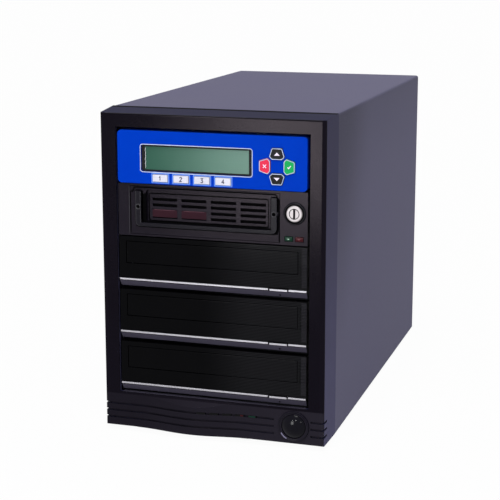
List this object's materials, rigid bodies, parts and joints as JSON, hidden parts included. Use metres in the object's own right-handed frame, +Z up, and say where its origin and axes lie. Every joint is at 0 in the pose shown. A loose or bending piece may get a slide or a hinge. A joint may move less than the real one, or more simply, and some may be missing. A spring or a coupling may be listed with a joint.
{
  "type": "disc duplicator tower",
  "caption": "Upright steel tower with a moulded front bezel, blue control panel with display, lockable removable disk carrier, and optical drives with sliding trays.",
  "frame": {"origin": "centre of the tower's outline, on the surface that its feet stand on", "axes": "+X to the right of someone facing the tower, +Y to its rear, +Z up"},
  "size_m": [0.179, 0.3542, 0.2522],
  "materials": {
    "bezel_plastic": "fine moulded texture",
    "case_paint": "fine textured paint",
    "bare_steel": "plain sheet steel",
    "foot_rubber": "matt",
    "panel_blue": "printed overlay, satin",
    "display": "pale grey green",
    "board_green": "solder mask",
    "key_white": "satin",
    "key_black": "satin",
    "key_red": "satin",
    "key_green": "satin",
    "rack_plastic": "fine moulded texture",
    "disk_metal": "cast",
    "lock_chrome": "polished",
    "lamp_green": "clear lens",
    "lamp_red": "clear lens",
    "drive_gloss": "finely ribbed gloss",
    "tray_plastic": "moulded",
    "bright_key": "metallised",
    "spindle_metal": "turned",
    "fan_plastic": "moulded",
    "socket_plastic": "moulded",
    "button_gloss": "polished"
  },
  "bodies": {
    "tower": {"front_bezel": "bezel_plastic", "cover_shell": "case_paint", "base_pan": "bare_steel", "rear_panel": "case_paint", "front_frame": "bare_steel", "bay_cage_left": "bare_steel", "bay_cage_right": "bare_steel", "foot_front_left": "foot_rubber", "foot_front_right": "foot_rubber", "foot_rear_left": "foot_rubber", "foot_rear_right": "foot_rubber", "control_panel": "panel_blue", "lcd_display": "display", "panel_board": "board_green", "rack_frame": "rack_plastic", "lock_collar": "rack_plastic", "rack_lamp_green": "lamp_green", "rack_lamp_red": "lamp_red", "disk_lens": "lamp_red", "power_lens": "lamp_green", "drive_shell_1": "bare_steel", "drive_shell_2": "bare_steel", "drive_shell_3": "bare_steel", "drive_bezel_1": "drive_gloss", "drive_bezel_2": "drive_gloss", "drive_bezel_3": "drive_gloss", "controller_bracket": "bare_steel", "controller_board": "board_green", "power_supply": "bare_steel", "psu_inlet": "socket_plastic", "rear_fan_frame": "fan_plastic"},
    "key_barrel": {"key_cylinder": "lock_chrome"},
    "carrier": {"rack_carrier": "rack_plastic", "hard_drive": "disk_metal"},
    "carrier_handle": {"rack_handle": "rack_plastic"},
    "power_key": {"power_button": "button_gloss"},
    "tray_1": {"drive_tray_1": "tray_plastic", "tray_door_1": "drive_gloss"},
    "eject_key_1": {"eject_button_1": "bright_key"},
    "turntable_1": {"spindle_1": "spindle_metal"},
    "tray_2": {"drive_tray_2": "tray_plastic", "tray_door_2": "drive_gloss"},
    "eject_key_2": {"eject_button_2": "bright_key"},
    "turntable_2": {"spindle_2": "spindle_metal"},
    "tray_3": {"drive_tray_3": "tray_plastic", "tray_door_3": "drive_gloss"},
    "eject_key_3": {"eject_button_3": "bright_key"},
    "turntable_3": {"spindle_3": "spindle_metal"},
    "function_1": {"function_key_1": "key_white"},
    "function_2": {"function_key_2": "key_white"},
    "function_3": {"function_key_3": "key_white"},
    "function_4": {"function_key_4": "key_white"},
    "pad_up": {"pad_key_up": "key_black"},
    "pad_left": {"pad_key_left": "key_red"},
    "pad_down": {"pad_key_down": "key_black"},
    "pad_right": {"pad_key_right": "key_green"},
    "case_fan": {"rear_fan_rotor": "fan_plastic"},
    "supply_fan": {"psu_fan_rotor": "fan_plastic"},
    "rocker": {"psu_switch": "socket_plastic"}
  },
  "joints": [
    {"name": "carrier_slide", "type": "slide", "parent": "tower", "child": "carrier", "axis": [0, -1, 0], "range_m": [0, 0.2]},
    {"name": "handle_swing", "type": "hinge", "parent": "carrier", "child": "carrier_handle", "pos_m": [0, -0.1726, 0.1802], "axis": [-1, 0, 0], "range_deg": [0, 90]},
    {"name": "key_turn", "type": "hinge", "parent": "tower", "child": "key_barrel", "pos_m": [0.0645, -0.1724, 0.1812], "axis": [0, 1, 0], "range_deg": [0, 90]},
    {"name": "power_press", "type": "slide", "parent": "tower", "child": "power_key", "axis": [0, 1, 0], "range_m": [0, 0.002], "stiffness_N_per_m": 300},
    {"name": "tray_slide_1", "type": "slide", "parent": "tower", "child": "tray_1", "axis": [0, -1, 0], "range_m": [0, 0.132]},
    {"name": "eject_press_1", "type": "slide", "parent": "tower", "child": "eject_key_1", "axis": [0, 1, 0], "range_m": [0, 0.001], "stiffness_N_per_m": 300},
    {"name": "spindle_spin_1", "type": "hinge", "parent": "tower", "child": "turntable_1", "pos_m": [0, -0.1044, 0.1247], "axis": [0, 0, 1], "continuous": true},
    {"name": "tray_slide_2", "type": "slide", "parent": "tower", "child": "tray_2", "axis": [0, -1, 0], "range_m": [0, 0.132]},
    {"name": "eject_press_2", "type": "slide", "parent": "tower", "child": "eject_key_2", "axis": [0, 1, 0], "range_m": [0, 0.001], "stiffness_N_per_m": 300},
    {"name": "spindle_spin_2", "type": "hinge", "parent": "tower", "child": "turntable_2", "pos_m": [0, -0.1044, 0.0832], "axis": [0, 0, 1], "continuous": true},
    {"name": "tray_slide_3", "type": "slide", "parent": "tower", "child": "tray_3", "axis": [0, -1, 0], "range_m": [0, 0.132]},
    {"name": "eject_press_3", "type": "slide", "parent": "tower", "child": "eject_key_3", "axis": [0, 1, 0], "range_m": [0, 0.001], "stiffness_N_per_m": 300},
    {"name": "spindle_spin_3", "type": "hinge", "parent": "tower", "child": "turntable_3", "pos_m": [0, -0.1044, 0.0417], "axis": [0, 0, 1], "continuous": true},
    {"name": "function_press_1", "type": "slide", "parent": "tower", "child": "function_1", "axis": [0, 1, 0], "range_m": [0, 0.0005], "stiffness_N_per_m": 300},
    {"name": "function_press_2", "type": "slide", "parent": "tower", "child": "function_2", "axis": [0, 1, 0], "range_m": [0, 0.0005], "stiffness_N_per_m": 300},
    {"name": "function_press_3", "type": "slide", "parent": "tower", "child": "function_3", "axis": [0, 1, 0], "range_m": [0, 0.0005], "stiffness_N_per_m": 300},
    {"name": "function_press_4", "type": "slide", "parent": "tower", "child": "function_4", "axis": [0, 1, 0], "range_m": [0, 0.0005], "stiffness_N_per_m": 300},
    {"name": "pad_press_up", "type": "slide", "parent": "tower", "child": "pad_up", "axis": [0, 1, 0], "range_m": [0, 0.0005], "stiffness_N_per_m": 300},
    {"name": "pad_press_left", "type": "slide", "parent": "tower", "child": "pad_left", "axis": [0, 1, 0], "range_m": [0, 0.0005], "stiffness_N_per_m": 300},
    {"name": "pad_press_down", "type": "slide", "parent": "tower", "child": "pad_down", "axis": [0, 1, 0], "range_m": [0, 0.0005], "stiffness_N_per_m": 300},
    {"name": "pad_press_right", "type": "slide", "parent": "tower", "child": "pad_right", "axis": [0, 1, 0], "range_m": [0, 0.0005], "stiffness_N_per_m": 300},
    {"name": "case_fan_spin", "type": "hinge", "parent": "tower", "child": "case_fan", "pos_m": [-0.022, 0.1607, 0.08975], "axis": [0, 1, 0], "continuous": true},
    {"name": "supply_fan_spin", "type": "hinge", "parent": "tower", "child": "supply_fan", "pos_m": [-0.027, 0.163, 0.2054], "axis": [0, 1, 0], "continuous": true},
    {"name": "rocker_tilt", "type": "hinge", "parent": "tower", "child": "rocker", "pos_m": [0.05, 0.1733, 0.2224], "axis": [1, 0, 0], "range_deg": [-16, 0]}
  ]
}
